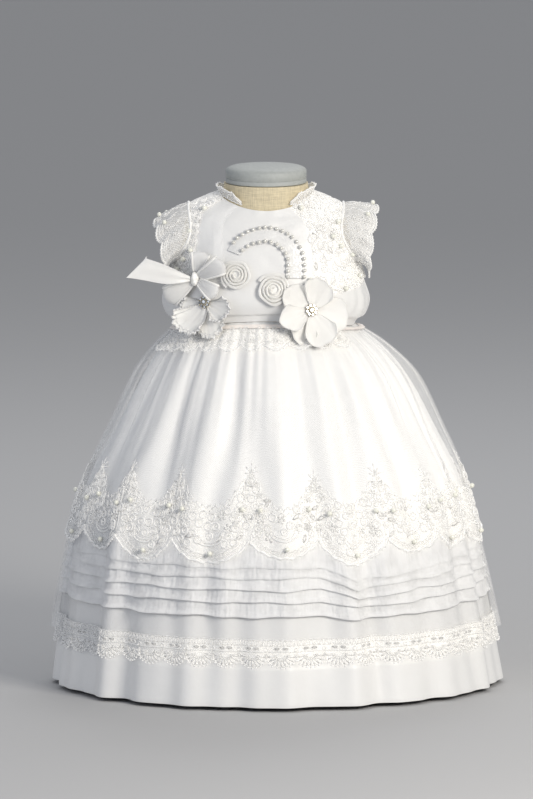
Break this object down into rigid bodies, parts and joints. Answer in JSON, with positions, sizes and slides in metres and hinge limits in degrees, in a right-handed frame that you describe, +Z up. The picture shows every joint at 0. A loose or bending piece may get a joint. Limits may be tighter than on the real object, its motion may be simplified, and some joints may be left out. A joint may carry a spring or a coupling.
{
  "type": "christening gown on a dress form",
  "caption": "White christening gown with tulle overlay, lace, pintucks, bow and cloth flowers, standing on a linen dress form.",
  "frame": {"origin": "on the floor, at the centre of the underside of the form's round base, in line with the pole", "axes": "+Z up along the pole, the gown's front faces -Y, +X is the viewer's right"},
  "size_m": [0.4479, 0.4158, 0.5215],
  "materials": {
    "satin": "white satin with a soft sheen",
    "net": "fine white net and organza, see-through",
    "lace": "corded white lace on net",
    "ribbon": "pale cream ribbon with a glitter",
    "linen": "natural linen, plain weave",
    "cap": "grey, satin",
    "metal": "white powder coat",
    "jewel": "silver setting with clear stones",
    "pearl": "pearl lustre"
  },
  "bodies": {
    "root": {"back_button_1": "satin", "back_button_2": "satin", "back_button_3": "satin", "back_button_4": "satin", "back_placket": "satin", "bodice_back_left": "satin", "bodice_back_right": "satin", "bodice_front": "satin", "bow_knot": "satin", "bow_loop_lower_left": "satin", "bow_loop_lower_right": "satin", "bow_loop_upper": "satin", "bow_loop_upper_right": "satin", "bow_tail": "satin", "flower_left_petal_1": "satin", "flower_left_petal_2": "satin", "flower_left_petal_3": "satin", "flower_left_petal_4": "satin", "flower_right_petal_1": "satin", "flower_right_petal_2": "satin", "flower_right_petal_3": "satin", "flower_right_petal_4": "satin", "flower_right_petal_5": "satin", "flower_right_petal_6": "satin", "form_base": "metal", "form_neck_cap": "cap", "form_pole": "metal", "form_torso": "linen", "jewel_left": "jewel", "jewel_right": "jewel", "lace_border_back": "lace", "lace_border_front": "lace", "lace_peplum": "lace", "lace_yoke_back_left": "lace", "lace_yoke_back_right": "lace", "lace_yoke_front_left": "lace", "lace_yoke_front_right": "lace", "neck_lace_left": "lace", "neck_lace_right": "lace", "net_tier_back": "net", "organza_drape": "net", "pearl_band": "ribbon", "rosette_left": "satin", "rosette_right": "satin", "sleeve_left": "lace", "sleeve_right": "lace", "tier_trim_back": "lace", "tier_trim_front": "lace", "tucked_tier_back": "satin", "tucked_tier_front": "satin", "tulle_overlay_back": "net", "tulle_overlay_front": "net", "underskirt_back": "satin", "underskirt_front": "satin", "waist_ribbon": "ribbon"}
  },
  "joints": []
}
